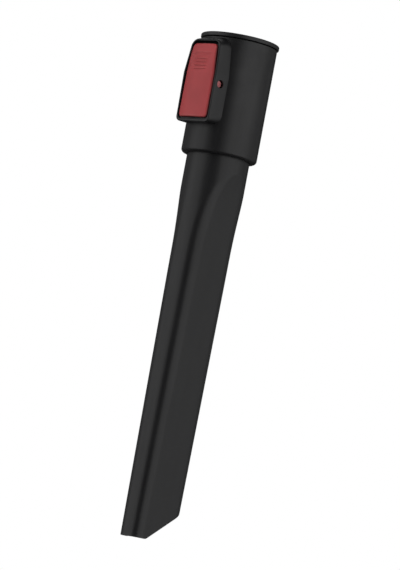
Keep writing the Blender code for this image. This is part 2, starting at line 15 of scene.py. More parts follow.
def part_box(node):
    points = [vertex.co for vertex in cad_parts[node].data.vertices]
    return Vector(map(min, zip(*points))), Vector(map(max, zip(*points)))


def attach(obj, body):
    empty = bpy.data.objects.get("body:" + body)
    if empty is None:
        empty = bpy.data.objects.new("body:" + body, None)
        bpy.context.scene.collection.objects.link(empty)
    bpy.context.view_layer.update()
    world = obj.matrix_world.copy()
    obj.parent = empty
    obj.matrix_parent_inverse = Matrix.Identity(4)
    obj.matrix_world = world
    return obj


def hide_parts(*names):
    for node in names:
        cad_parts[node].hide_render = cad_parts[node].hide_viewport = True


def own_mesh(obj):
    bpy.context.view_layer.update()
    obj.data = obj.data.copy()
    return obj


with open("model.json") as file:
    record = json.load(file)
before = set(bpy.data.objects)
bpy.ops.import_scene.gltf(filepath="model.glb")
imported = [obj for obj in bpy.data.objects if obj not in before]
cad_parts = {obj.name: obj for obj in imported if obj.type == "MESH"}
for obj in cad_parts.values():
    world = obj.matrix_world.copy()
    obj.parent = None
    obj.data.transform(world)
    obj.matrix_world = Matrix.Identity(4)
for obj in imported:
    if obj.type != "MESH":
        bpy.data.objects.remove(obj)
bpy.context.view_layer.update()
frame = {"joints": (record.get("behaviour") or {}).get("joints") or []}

MM = 0.001
GAP = 0.3 * MM
ROUND_STEPS = 256

# Camera: where it looks, from where, and how far it leans
AIM = Vector((-1.976, 2.034, -135.54)) * MM
DISTANCE = 1.8966
AZIMUTH = math.radians(44.6)  # of the camera, from +X towards +Y
BELOW = math.radians(5.44)
LEAN = math.radians(10.61)
LENS = 221.4

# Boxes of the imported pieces
NOZZLE_LOW, NOZZLE_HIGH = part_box("nozzle")
COLLAR_LOW, COLLAR_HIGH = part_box("collar")
SLEEVE_LOW, SLEEVE_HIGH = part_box("mouth_sleeve")
LEVER_LOW, LEVER_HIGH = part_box("release_lever")
PIN_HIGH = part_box("pivot_pin")[1]
SPRING_LOW, SPRING_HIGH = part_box("return_spring")
PIVOT = Vector(frame["joints"][0]["pos_m"])
PRESS_ANGLE = math.radians(frame["joints"][0]["range_deg"][1])

# Socket
LINER_RADIUS = NOZZLE_HIGH.y
BORE_RADIUS = 17.5 * MM
LINER_END = SLEEVE_LOW.z
LIP_RADIUS = SLEEVE_HIGH.y
LIP_HEIGHT = 2.3 * MM
LIP_ROUND = 0.6 * MM
LEAD_IN = 0.9 * MM
GUIDE_RIB_ANGLES = (60, 120, 240, 300)  # degrees from the lever
GUIDE_RIB_HALF_WIDTH = 0.6 * MM
GUIDE_RIB_HEIGHT = 0.5 * MM
GUIDE_RIB_TOP = -8.0 * MM
WINDOW_HALF_WIDTH = 5.4 * MM
WINDOW_TOP = -42.6 * MM
WINDOW_BOTTOM = -49.6 * MM

# Collar and its latch housing
COLLAR_RADIUS = COLLAR_HIGH.y
COLLAR_FOOT = COLLAR_LOW.z
COLLAR_TOP = COLLAR_HIGH.z
COLLAR_FOOT_ROUND = 2.1 * MM
COLLAR_WALL = LINER_RADIUS + GAP
LEDGE_THICKNESS = 2.2 * MM
HOUSING_FRONT = COLLAR_HIGH.x  # at its ridge, where the sides start to draw in
FRONT_FALLS = (0.02, 0.043)  # how fast the front falls back from there: downwards, upwards
HOUSING_BACK = 12.0 * MM
HOUSING_HALF_WIDTH = 12.4 * MM
HOUSING_TOP_HALF_WIDTH = 10.7 * MM
HOUSING_DRAFT = 0.0426  # gain in half width per length from its front back
HOUSING_TOP = -5.4 * MM
HOUSING_RAMP_RISE = 2.1 * MM
HOUSING_BOTTOM = -51.0 * MM
HOUSING_TOP_CORNER = 4.4 * MM
HOUSING_BOTTOM_CORNER = 2.6 * MM  # at its front
HOUSING_CORNER_GROWTH = 0.22  # gain in all its corners' radii per length from its front back
HOUSING_EDGE = 0.7 * MM
TAPER_START = -24.0 * MM
TAPER_BLEND = 14.0 * MM  # radius of the sides there
POCKET_FLOOR = 19.8 * MM
POCKET_GAP = 0.9 * MM  # beside the lever
POCKET_END_GAP = 1.0 * MM  # above and below it
POCKET_RIM = 0.25 * MM

# Release lever
LEVER_FACE = 27.25 * MM
LEVER_HALF_WIDTH = LEVER_HIGH.y
LEVER_TOP_HALF_WIDTH = 8.7 * MM
LEVER_TOP_CORNER = 2.5 * MM
LEVER_BOTTOM_CORNER = 1.9 * MM
LEVER_EDGE = 1.15 * MM
FACE_CROWN = 1.2 * MM  # how much lower the face is at its sides
CROWN_POWER = 2.5
FACE_BEND = -16.0 * MM  # above this the face curves back
FACE_DROP = 0.8 * MM  # by this much at its end
DISH_TOP = -12.5 * MM
DISH_BOTTOM = -25.0 * MM
DISH_DEPTH = 0.6 * MM
DISH_HALF_WIDTH = 7.8 * MM
DISH_WALL = 2.2 * MM
RIB_PITCH = 1.9 * MM
RIB_FIRST = -16.2 * MM
RIB_COUNT = 4
RIB_HALF_LENGTH = 4.3 * MM
RIB_RADIUS = 0.45 * MM
RIB_SINK = 0.05 * MM
PLATE_BACK = 24.8 * MM
INSIDE_PLATE = PLATE_BACK + 0.6 * MM
FRAME_BACK = 23.0 * MM
FRAME_INSET = 1.4 * MM
FRAME_WALL = 1.4 * MM

# Pivot, lugs, hook and spring
PIN_RADIUS = PIN_HIGH.z - PIVOT.z
PIN_HALF_LENGTH = PIN_HIGH.y
PIN_EDGE = 0.3 * MM
PIN_HOLE_RADIUS = 2.25 * MM
LUG_BORE_RADIUS = 1.9 * MM
LUG_RADIUS = 3.2 * MM
LUG_INNER = 7.4 * MM
LUG_OUTER = 8.9 * MM
HOOK_TOP = -44.0 * MM
HOOK_BOTTOM = -47.7 * MM
HOOK_HALF_WIDTH = 4.4 * MM
HOOK_NOSE = LEVER_LOW.x
STOP_HALF_WIDTH = 7.0 * MM
SPRING_Z = (SPRING_LOW.z + SPRING_HIGH.z) / 2
SPRING_SEAT = 19.4 * MM
SPRING_SEAT_RADIUS = 3.3 * MM
SPRING_BOSS_RADIUS = 1.7 * MM
SPRING_BOSS_LENGTH = 1.2 * MM
SPRING_TURNS = 5
WIRE_RADIUS = 0.25 * MM

# Nozzle
TIP_Z = NOZZLE_LOW.z
NECK_RADIUS = 17.2 * MM
NECK_WALL = 1.9 * MM
FLANGE_BOTTOM = -62.4 * MM
FLANGE_TOP = -60.6 * MM
STOP_RING_RADIUS = 16.7 * MM
STOP_RING_TOP = NOZZLE_HIGH.z
WAIST_HALF_WIDTH = 16.9 * MM
TIP_HALF_WIDTH = 16.45 * MM
TIP_HALF_THICKNESS = 7.5 * MM
FLAT_DRAFT = 0.0175  # gain in half thickness per length, from the tip up
EDGE_RADII = (8.3 * MM, 5.8 * MM)  # between flat and round: at the neck, at the tip
TIP_WALL = 1.5 * MM
SCOOP_TOP = -74.0 * MM
SCOOP_END = -120.0 * MM
SCOOP_POWER = 2.3  # how it curves out of the flat into the round neck
TIP_FLAT_EDGE = 8.4 * MM
TIP_SLANT = math.radians(35.8)
TIP_CORNER = 3.0 * MM
TOE_CORNER = 2.2 * MM
TIP_ROUND = 0.35 * MM  # of the tip's rims
SHEAR_START = -200.0 * MM  # below this the rings lean towards the slant of the tip

# Seals
SEAL_BOTTOM = -60.3 * MM
GASKET_BOTTOM = -63.5 * MM
GASKET_THICKNESS = 0.8 * MM

# Softboxes beside the tool: how far away and how tall
SIDE_DISTANCE = 1.6
SIDE_HEIGHT = 2.4


# ---------------------------------------------------------------- mesh helpers


def object_from(name, bm):
    """The bmesh as a scene object, its normals outward."""
    bmesh.ops.recalc_face_normals(bm, faces=bm.faces)
    mesh = bpy.data.meshes.new(name)
    bm.to_mesh(mesh)
    bm.free()
    obj = bpy.data.objects.new(name, mesh)
    bpy.context.scene.collection.objects.link(obj)
    return obj


def loft(rings, closed=False):
    """A bmesh through rings of points, one point of each ring above the next. Its ends are capped, or joined."""
    bm = bmesh.new()
    loops = [[bm.verts.new(point) for point in ring] for ring in rings]
    pairs = list(zip(loops, loops[1:]))
    if closed:
        pairs.append((loops[-1], loops[0]))
    else:
        bm.faces.new(loops[0])
        bm.faces.new(loops[-1])
    count = len(loops[0])
    for lower, upper in pairs:
        for i in range(count):
            j = (i + 1) % count
            bm.faces.new((lower[i], lower[j], upper[j], upper[i]))
    return bm


def circle(radius, z, steps=ROUND_STEPS):
    angles = [2 * math.pi * step / steps for step in range(steps)]
    return [(radius * math.cos(a), radius * math.sin(a), z) for a in angles]


def turned(name, profile, steps=ROUND_STEPS):
    """A ring turned round Z from a closed profile of (radius, height) points."""
    return object_from(name, loft([circle(point.x, point.y, steps) for point in profile], closed=True))


def rounded_outline(corners, steps=8):
    """A closed outline from (a, b, radius) corners, each with its corner turned into an arc."""
    outline = []
    for index, (a, b, radius) in enumerate(corners):
        here = Vector((a, b))
        before = (Vector(corners[index - 1][:2]) - here).normalized()
        after = (Vector(corners[(index + 1) % len(corners)][:2]) - here).normalized()
        if not radius:
            outline.append(here)
            continue
        half = before.angle(after) / 2
        centre = here + (before + after).normalized() * (radius / math.sin(half))
        first = here + before * (radius / math.tan(half)) - centre
        sweep = first.angle_signed(here + after * (radius / math.tan(half)) - centre)
        for step in range(steps + 1):
            turn = Matrix.Rotation(-sweep * step / steps, 2)
            outline.append(centre + turn @ first)
    return outline


def rim(radius, steps=6):
    """Steps round a quarter fillet: (how far in from the side, how far short of the end), from side to end."""
    angles = [math.pi / 2 * step / steps for step in range(steps + 1)]
    return [(radius * (1 - math.cos(a)), radius * (1 - math.sin(a))) for a in angles]


def side_prism(name, outline, half_width):
    """A block extruded along Y, both ways, from an outline in X and Z."""
    rings = [[(p.x, y, p.y) for p in outline] for y in (-half_width, half_width)]
    return object_from(name, loft(rings))


def rod(name, radius, start, end, steps=64):
    """A cylinder from start to end."""
    start, end = Vector(start), Vector(end)
    turn = (end - start).to_track_quat("Z", "X").to_matrix()
    rings = [[base + turn @ Vector(p) for p in circle(radius, 0.0, steps)] for base in (start, end)]
    return object_from(name, loft(rings))


def box(name, low, high):
    ring = [(low[0], low[1]), (high[0], low[1]), (high[0], high[1]), (low[0], high[1])]
    return object_from(name, loft([[(x, y, z) for x, y in ring] for z in (low[2], high[2])]))


def boolean(target, others, operation):
    """Joins other objects to the target's mesh or cuts them away, one after another, and removes them."""
    for other in others:
        modifier = target.modifiers.new("boolean", "BOOLEAN")
        modifier.operation = operation
        modifier.solver = "EXACT"
        modifier.object = other
        bpy.context.view_layer.update()
        shape = bpy.data.meshes.new_from_object(target.evaluated_get(bpy.context.evaluated_depsgraph_get()))
        target.modifiers.clear()
        target.data = shape
        bpy.data.objects.remove(other)


def mark_edges(mesh):
    """Stores, for each point, how tightly the surface bends outward there: 0 where flat, 1 on a 1 mm edge."""
    tightest = [0.0] * len(mesh.vertices)
    for edge in mesh.edges:
        a, b = (mesh.vertices[index] for index in edge.vertices)
        step = b.co - a.co
        length = max(step.length, 0.02 * MM)
        bend = (b.normal - a.normal).dot(step) / length**2
        for vertex in (a, b):
            tightest[vertex.index] = max(tightest[vertex.index], min(1.0, bend * MM))
    attribute = mesh.attributes.new("edge", "FLOAT", "POINT")
    attribute.data.foreach_set("value", tightest)


def mark_sides(mesh):
    """Stores, for each point, how far the surface turns away from +X: 0 on the lever's face, 1 on its sides. The
    lever's material uses it to paint shade on the sides.
    """
    attribute = mesh.attributes.new("side", "FLOAT", "POINT")
    attribute.data.foreach_set("value", [1.0 - max(0.0, vertex.normal.x) for vertex in mesh.vertices])


def place(piece, finish, body, node, smooth_below=32.0):
    """The finished piece in the frame: clean shading, its material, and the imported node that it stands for."""
    mesh = piece.data
    mesh.shade_smooth()
    mesh.set_sharp_from_angle(angle=math.radians(smooth_below))
    mark_edges(mesh)
    mesh.materials.clear()
    mesh.materials.append(finish)
    weighted = piece.modifiers.new("weighted_normals", "WEIGHTED_NORMAL")
    weighted.keep_sharp = True
    piece.name = node + "_fine"
    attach(piece, body)
    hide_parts(node)


# ---------------------------------------------------------------- nozzle


def tapered(z, at_neck, at_tip):
    """A size that changes evenly from the neck, at the flange, down to the tip."""
    share = (FLANGE_BOTTOM - z) / (FLANGE_BOTTOM - TIP_Z)
    return at_neck + (at_tip - at_neck) * min(1.0, max(0.0, share))


def scoop_share(z):
    """0 below the scoop, and 1 at its top, where the flats run out into the round neck."""
    return min(1.0, max(0.0, (z - SCOOP_END) / (SCOOP_TOP - SCOOP_END)))


def half_thickness(z):
    """How far each flat stands from the axis: a drafted plane that curves away along the scoop."""
    plane = TIP_HALF_THICKNESS + FLAT_DRAFT * (z - TIP_Z)
    plane_at_top = TIP_HALF_THICKNESS + FLAT_DRAFT * (SCOOP_TOP - TIP_Z)
    return plane + (NECK_RADIUS - plane_at_top) * scoop_share(z) ** SCOOP_POWER


def half_width(z):
    """How far each narrow side stands from the axis."""
    if z < SCOOP_END:
        share = (z - TIP_Z) / (SCOOP_END - TIP_Z)
        return TIP_HALF_WIDTH + (WAIST_HALF_WIDTH - TIP_HALF_WIDTH) * share
    share = scoop_share(z)
    return WAIST_HALF_WIDTH + (NECK_RADIUS - WAIST_HALF_WIDTH) * share * share * (3 - 2 * share)


def core_distance(x, y, core, x_limit, y_limit):
    """Distance from a point with positive x and y to the section's core: a disc trimmed by the flats."""
    near_x, near_y = min(x, x_limit), min(y, y_limit)
    if math.hypot(near_x, near_y) > core:
        scale = core / math.hypot(x, y)
        near_x, near_y = x * scale, y * scale
        if near_x > x_limit:
            near_x, near_y = x_limit, math.sqrt(max(0.0, core * core - x_limit * x_limit))
        elif near_y > y_limit:
            near_x, near_y = math.sqrt(max(0.0, core * core - y_limit * y_limit)), y_limit
    return math.hypot(x - near_x, y - near_y)


def skin_radius(angle, z, wall):
    """Distance from the axis, in one direction, to the nozzle's surface at height z, moved in by wall."""
    edge = tapered(z, *EDGE_RADII)
    core = NECK_RADIUS - edge
    limits = (core, half_width(z) - edge, half_thickness(z) - edge)
    toward = abs(math.cos(angle)), abs(math.sin(angle))
    low, high = 0.0, NECK_RADIUS + 1 * MM
    for _ in range(22):
        middle = (low + high) / 2
        if core_distance(middle * toward[0], middle * toward[1], *limits) < edge - wall:
            low = middle
        else:
            high = middle
    return high


def tip_height(x):
    """Z of the tip's end at x: square below the lever, then a slanting cut, with its corners rounded."""
    slope = math.tan(TIP_SLANT)
    tangent = TIP_CORNER * math.tan(TIP_SLANT / 2)
    bend_x = TIP_FLAT_EDGE + tangent
    if x > bend_x:
        return TIP_Z
    if x > bend_x - TIP_CORNER * math.sin(TIP_SLANT):
        return TIP_Z + TIP_CORNER - math.sqrt(TIP_CORNER**2 - (bend_x - x) ** 2)
    toe_x = TOE_CORNER - TIP_HALF_WIDTH
    leaves = toe_x - TOE_CORNER * math.sin(TIP_SLANT)
    if x > leaves:
        return TIP_Z + (TIP_FLAT_EDGE - x) * slope
    toe_z = TIP_Z + (TIP_FLAT_EDGE - leaves) * slope + TOE_CORNER * math.cos(TIP_SLANT)
    return toe_z - math.sqrt(max(0.0, TOE_CORNER**2 - (toe_x - x) ** 2))


def nozzle_ring(z, wall, above_tip=None):
    """A ring of the nozzle at height z, or above the slanting end of its tip by above_tip.

    Near the tip its points shift to follow the slant. The radius and the height depend on each other a little,
    so both are worked out twice.
    """
    ring = []
    for step in range(ROUND_STEPS):
        angle = 2 * math.pi * step / ROUND_STEPS
        height = z
        for _ in range(2):
            radius = skin_radius(angle, height, wall)
            end = tip_height(radius * math.cos(angle))
            if above_tip is not None:
                height = end + above_tip
            elif z < SHEAR_START:
                share = (SHEAR_START - z) / (SHEAR_START - TIP_Z)
                height = z + (end - TIP_Z) * share
        ring.append((radius * math.cos(angle), radius * math.sin(angle), height))
    return ring


def nozzle_heights(scoop_steps, body_steps):
    """Heights of the nozzle's rings, from the top of the scoop down: closer together in the scoop."""
    scoop = [SCOOP_TOP + (SCOOP_END - SCOOP_TOP) * (step / scoop_steps) ** 1.15 for step in range(scoop_steps)]
    lowest = TIP_Z + 2 * MM
    body = [SCOOP_END + (lowest - SCOOP_END) * step / body_steps for step in range(body_steps + 1)]
    return scoop + body


def make_nozzle():
    """The nozzle: up the inside of its bore, over the stop ring and flange, down the outside and round the tip."""
    inner = [(z, tapered(z, NECK_WALL, TIP_WALL)) for z in nozzle_heights(30, 16)]
    rings = [nozzle_ring(z, wall) for z, wall in reversed(inner)]
    neck_bore = NECK_RADIUS - NECK_WALL
    round_off = 0.2 * MM
    rings += [circle(neck_bore, STOP_RING_TOP - round_off), circle(neck_bore + round_off, STOP_RING_TOP)]
    rings += [circle(STOP_RING_RADIUS - back, STOP_RING_TOP - down) for down, back in reversed(rim(round_off, 3))]
    rings += [circle(STOP_RING_RADIUS, FLANGE_TOP)]
    rings += [circle(LINER_RADIUS - round_off, FLANGE_TOP), circle(LINER_RADIUS, FLANGE_TOP - round_off)]
    rings += [circle(LINER_RADIUS, FLANGE_BOTTOM + round_off), circle(LINER_RADIUS - round_off, FLANGE_BOTTOM)]
    rings += [circle(NECK_RADIUS, FLANGE_BOTTOM)]
    rings += [nozzle_ring(z, 0.0) for z in nozzle_heights(60, 24)]
    rings += [nozzle_ring(TIP_Z, inset, above) for inset, above in rim(TIP_ROUND)]
    rings += [nozzle_ring(TIP_Z, TIP_WALL - inset, above) for inset, above in reversed(rim(TIP_ROUND))]
    return object_from("nozzle_fine", loft(rings, closed=True))


# ---------------------------------------------------------------- collar, sleeve and seals


def tapered_outline(wide, narrow, low, high, bottom_corner, top_corner):
    """The outline that the housing and the lever share, in Y and Z: its sides draw in towards the top."""
    return rounded_outline(
        [
            (-wide, low, bottom_corner),
            (wide, low, bottom_corner),
            (wide, TAPER_START, TAPER_BLEND),
            (narrow, high, top_corner),
            (-narrow, high, top_corner),
            (-wide, TAPER_START, TAPER_BLEND),
        ]
    )


def housing_outline(x, inset):
    """The housing's outline in Y and Z at depth x, moved in by inset: its top climbs towards the collar."""
    behind = HOUSING_FRONT - x
    spread = HOUSING_DRAFT * behind - inset
    wide, narrow = HOUSING_HALF_WIDTH + spread, HOUSING_TOP_HALF_WIDTH + spread
    climb = HOUSING_RAMP_RISE * min(1.0, behind / (HOUSING_FRONT - COLLAR_RADIUS))
    low, high = HOUSING_BOTTOM + inset, HOUSING_TOP + climb - inset
    rounding = HOUSING_CORNER_GROWTH * behind - inset
    corners = HOUSING_BOTTOM_CORNER + rounding, HOUSING_TOP_CORNER + rounding
    return tapered_outline(wide, narrow, low, high, *corners)


def front_fall(z):
    """How far the housing's front lies behind its ridge at height z."""
    below, above = FRONT_FALLS
    return below * max(0.0, TAPER_START - z) + above * max(0.0, z - TAPER_START)


def fallen(x, outline):
    """The outline's points at depth x, moved back as the housing's front is."""
    return [(x - front_fall(p.y), p.x, p.y) for p in outline]


def housing_block():
    """The raised housing before its pocket is cut: slices from inside the collar out to its rounded front rim."""
    slices = [(HOUSING_BACK, 0.0), (COLLAR_RADIUS, 0.0)]
    slices += [(HOUSING_FRONT - short, inset) for inset, short in rim(HOUSING_EDGE)]
    bm = loft([fallen(x, housing_outline(x, inset)) for x, inset in slices])
    bmesh.ops.triangulate(bm, faces=[face for face in bm.faces if len(face.verts) > 4])
    return object_from("housing_block", bm)


def plate_outline(grow=0.0, grow_ends=0.0):
    """The lever's outline seen from the front, in Y and Z, grown on all sides and again at both ends."""
    wide, narrow = LEVER_HALF_WIDTH + grow, LEVER_TOP_HALF_WIDTH + grow
    low, high = LEVER_LOW.z - grow - grow_ends, LEVER_HIGH.z + grow + grow_ends
    corners = (max(radius + grow, 0.3 * MM) for radius in (LEVER_BOTTOM_CORNER, LEVER_TOP_CORNER))
    return tapered_outline(wide, narrow, low, high, *corners)


def plate_prism(name, slices):
    """A block through (x, outline) slices."""
    return object_from(name, loft([[(x, p.x, p.y) for p in outline] for x, outline in slices]))


def pocket_cutters():
    """The room for the lever at rest and pressed, with a softened rim round it, and the window for its hook."""
    extra = POCKET_END_GAP - POCKET_GAP
    beyond = LEVER_FACE + 5 * MM
    deep = plate_outline(POCKET_GAP - FRAME_INSET, extra)
    well = plate_prism("well", [(POCKET_FLOOR, deep), (beyond, deep)])
    rings = [[(PLATE_BACK - GAP, p.x, p.y) for p in plate_outline(POCKET_GAP, extra)]]
    for short, out in reversed(rim(POCKET_RIM, 5)):
        rings.append(fallen(HOUSING_FRONT - short, plate_outline(POCKET_GAP + out, extra)))
    rings.append([(beyond, p.x, p.y) for p in plate_outline(POCKET_GAP + POCKET_RIM, extra)])
    resting = object_from("resting", loft(rings))
    swung = plate_outline(POCKET_GAP)
    pressed = plate_prism("pressed", [(PLATE_BACK - GAP, swung), (beyond, swung)])
    turn = Matrix.Rotation(-PRESS_ANGLE, 4, "Y")
    pressed.data.transform(Matrix.Translation(PIVOT) @ turn @ Matrix.Translation(-PIVOT))
    window = box(
        "window",
        (COLLAR_WALL - 3 * MM, -WINDOW_HALF_WIDTH, WINDOW_BOTTOM),
        (POCKET_FLOOR + 1 * MM, WINDOW_HALF_WIDTH, WINDOW_TOP),
    )
    return [well, resting, pressed, window]


def seat_cutters():
    """The seats behind the lever for its pin, its lugs and the spring, and the pin's hole."""
    reach = LUG_OUTER + 2 * GAP
    half_trough = PIN_RADIUS + 0.8 * MM
    trough = box(
        "trough",
        (PIVOT.x - PIN_RADIUS - 1.5 * GAP, -reach, PIVOT.z - half_trough),
        (PIVOT.x, reach, PIVOT.z + half_trough),
    )
    reliefs = [
        rod(
            "relief",
            LUG_RADIUS + GAP,
            (PIVOT.x, side * (LUG_INNER - GAP), PIVOT.z),
            (PIVOT.x, side * reach, PIVOT.z),
        )
        for side in (-1, 1)
    ]
    outside = HOUSING_HALF_WIDTH + 2 * MM
    hole = rod("pin_hole", PIN_HOLE_RADIUS, (PIVOT.x, -outside, PIVOT.z), (PIVOT.x, outside, PIVOT.z))
    seat = rod("seat", SPRING_SEAT_RADIUS, (SPRING_SEAT, 0, SPRING_Z), (HOUSING_FRONT, 0, SPRING_Z))
    return [trough, *reliefs, hole, seat]


def make_collar():
    """The collar with its housing, bored for the sleeve and the neck."""
    inside = 5 * MM
    round_off = 0.3 * MM
    profile = rounded_outline(
        [
            (inside, COLLAR_FOOT, 0),
            (COLLAR_RADIUS, COLLAR_FOOT, COLLAR_FOOT_ROUND),
            (COLLAR_RADIUS, COLLAR_TOP, round_off),
            (inside, COLLAR_TOP, 0),
        ]
    )
    shell = turned("collar_fine", profile)
    boolean(shell, [housing_block()], "UNION")
    ledge = COLLAR_FOOT + LEDGE_THICKNESS
    spare = 5 * MM
    bore = rod("bore", COLLAR_WALL, (0, 0, ledge), (0, 0, COLLAR_TOP + spare), ROUND_STEPS)
    neck_ends = (0, 0, COLLAR_FOOT - spare), (0, 0, ledge + 2 * MM)
    neck_hole = rod("neck_hole", NECK_RADIUS + GAP, *neck_ends, ROUND_STEPS)
    boolean(shell, [bore, neck_hole, *pocket_cutters(), *seat_cutters()], "DIFFERENCE")
    return shell


def guide_rib(degrees):
    """A low rib along the bore, which steadies the spigot."""
    inner, outer = BORE_RADIUS - GUIDE_RIB_HEIGHT, BORE_RADIUS + 0.5 * MM
    wide = GUIDE_RIB_HALF_WIDTH
    rounding = 0.3 * MM
    corners = [(inner, -wide, rounding), (inner, wide, rounding), (outer, wide, 0), (outer, -wide, 0)]
    outline = rounded_outline(corners)
    heights = (LINER_END + 2 * MM, GUIDE_RIB_TOP)
    rib = object_from("rib", loft([[(p.x, p.y, z) for p in outline] for z in heights]))
    rib.data.transform(Matrix.Rotation(math.radians(degrees), 4, "Z"))
    return rib


def make_sleeve():
    """The liner with its lip, guide ribs and the window for the hook."""
    under = -LIP_HEIGHT
    profile = rounded_outline(
        [
            (BORE_RADIUS, LINER_END, 0.3 * MM),
            (LINER_RADIUS, LINER_END, 0.3 * MM),
            (LINER_RADIUS, under, 0.1 * MM),
            (LIP_RADIUS, under, LIP_ROUND * 0.8),
            (LIP_RADIUS, 0.0, LIP_ROUND),
            (BORE_RADIUS, 0.0, LEAD_IN),
        ],
        steps=6,
    )
    sleeve = turned("mouth_sleeve_fine", profile)
    boolean(sleeve, [guide_rib(degrees) for degrees in GUIDE_RIB_ANGLES], "UNION")
    window = box(
        "window",
        (BORE_RADIUS - 4 * MM, -WINDOW_HALF_WIDTH, WINDOW_BOTTOM),
        (LINER_RADIUS + 2 * MM, WINDOW_HALF_WIDTH, WINDOW_TOP),
    )
    boolean(sleeve, [window], "DIFFERENCE")
    return sleeve


def make_seal():
    """The spigot's seal: a heel below the liner and a thin lip that leans into the bore."""
    top = LINER_END - GAP
    inner = STOP_RING_RADIUS + GAP
    lip = BORE_RADIUS - 0.8 * MM
    back = BORE_RADIUS + 0.2 * MM
    profile = rounded_outline(
        [
            (inner, SEAL_BOTTOM, 0.1 * MM),
            (LINER_RADIUS, SEAL_BOTTOM, 0.25 * MM),
            (LINER_RADIUS, top, 0.25 * MM),
            (BORE_RADIUS - 0.2 * MM, top, 0.3 * MM),
            (lip, SEAL_BOTTOM + 2.0 * MM, 0.12 * MM),
            (lip + 0.35 * MM, SEAL_BOTTOM + 1.7 * MM, 0.05 * MM),
            (back, SEAL_BOTTOM + 2.9 * MM, 0.1 * MM),
            (back, SEAL_BOTTOM + 1.1 * MM, 0.1 * MM),
            (inner, SEAL_BOTTOM + 0.7 * MM, 0.05 * MM),
        ],
        steps=4,
    )
    return turned("socket_seal_fine", profile, 192)


def make_gasket():
    top = GASKET_BOTTOM + GASKET_THICKNESS
    inner = NECK_RADIUS + GAP
    corners = [(inner, GASKET_BOTTOM), (LINER_RADIUS, GASKET_BOTTOM), (LINER_RADIUS, top), (inner, top)]
    return turned("nozzle_gasket_fine", rounded_outline([(*c, 0.2 * MM) for c in corners], steps=4), 192)


# ---------------------------------------------------------------- lever, pin and spring


def ease(low, high, value):
    """0 at low, 1 at high, and smooth between them."""
    share = min(1.0, max(0.0, (value - low) / (high - low)))
    return share * share * (3 - 2 * share)


def face_height(y, z):
    """X of the lever's face: crowned across, curved back at its thumb end, and hollowed by the thumb dish."""
    crown = FACE_CROWN * abs(y / LEVER_HALF_WIDTH) ** CROWN_POWER
    bend = max(0.0, (z - FACE_BEND) / (LEVER_HIGH.z - FACE_BEND))
    across = 1 - ease(DISH_HALF_WIDTH - DISH_WALL, DISH_HALF_WIDTH, abs(y))
    below_top = 1 - ease(DISH_TOP - DISH_WALL, DISH_TOP, z)
    fading = min(1.0, max(0.0, (z - DISH_BOTTOM) / (DISH_TOP - DISH_BOTTOM)))
    return LEVER_FACE - crown - FACE_DROP * bend**2 - DISH_DEPTH * across * below_top * fading


def rib_height(y, z):
    """How far the grip ribs stand out of the dish."""
    nearest = min(range(RIB_COUNT), key=lambda number: abs(z - RIB_FIRST + RIB_PITCH * number))
    across = z - RIB_FIRST + RIB_PITCH * nearest
    along = max(0.0, abs(y) - RIB_HALF_LENGTH + RIB_RADIUS)
    squared = RIB_RADIUS**2 - across**2 - along**2
    return max(0.0, math.sqrt(max(0.0, squared)) - RIB_SINK)


def lever_depth(y, z):
    """How far a point lies inside the lever's outline, up to its corner's radius."""
    y = abs(y)
    if z < TAPER_START:
        corner = LEVER_BOTTOM_CORNER
        outward = (y - LEVER_HALF_WIDTH + corner, LEVER_LOW.z + corner - z)
        return corner - math.hypot(max(0.0, outward[0]), max(0.0, outward[1]))
    corner = LEVER_TOP_CORNER
    slope = (LEVER_HALF_WIDTH - LEVER_TOP_HALF_WIDTH) / (LEVER_HIGH.z - TAPER_START)
    lean = math.hypot(1.0, slope)
    straight_end = LEVER_HIGH.z - corner
    side = LEVER_HALF_WIDTH - corner * lean - slope * (min(z, straight_end) - TAPER_START)
    if z > straight_end:
        return corner - math.hypot(max(0.0, y - side), z - straight_end)
    return corner - max(0.0, y - side) / lean


def lever_half_width(z):
    """Half the width of the lever's outline at height z."""
    low, high = 0.0, LEVER_HALF_WIDTH + 1 * MM
    for _ in range(30):
        middle = (low + high) / 2
        if lever_depth(middle, z) > 0:
            low = middle
        else:
            high = middle
    return low


def lever_rows():
    """Heights of the face's rows: close together at its rims, its dish and its ribs."""
    low = [LEVER_LOW.z + inset for inset, _ in rim(LEVER_BOTTOM_CORNER, 10)]
    high = [LEVER_HIGH.z - inset for inset, _ in reversed(rim(LEVER_TOP_CORNER, 12))]
    rib_low = RIB_FIRST - RIB_PITCH * (RIB_COUNT - 1) - 1 * MM
    plain_steps, ribbed_steps = 22, 120
    plain = [low[-1] + (rib_low - low[-1]) * step / plain_steps for step in range(1, plain_steps)]
    ribbed = [rib_low + (high[0] - rib_low) * step / ribbed_steps for step in range(ribbed_steps)]
    return low + plain + ribbed + high


def lever_columns(half):
    """Places across one row, from one side to the other, close together at its rims."""
    rims = [inset for inset, _ in rim(LEVER_EDGE, 7)]
    reach = half - rims[-1]
    steps = 26
    inner = [reach * (2 * step / steps - 1) for step in range(1, steps)]
    return [inset - half for inset in rims] + inner + [half - inset for inset in reversed(rims)]


def lever_point(y, z):
    short = LEVER_EDGE - min(LEVER_EDGE, max(0.0, lever_depth(y, z)))
    edge = LEVER_EDGE - math.sqrt(LEVER_EDGE**2 - short**2)
    return (face_height(y, z) + rib_height(y, z) - edge, y, z)


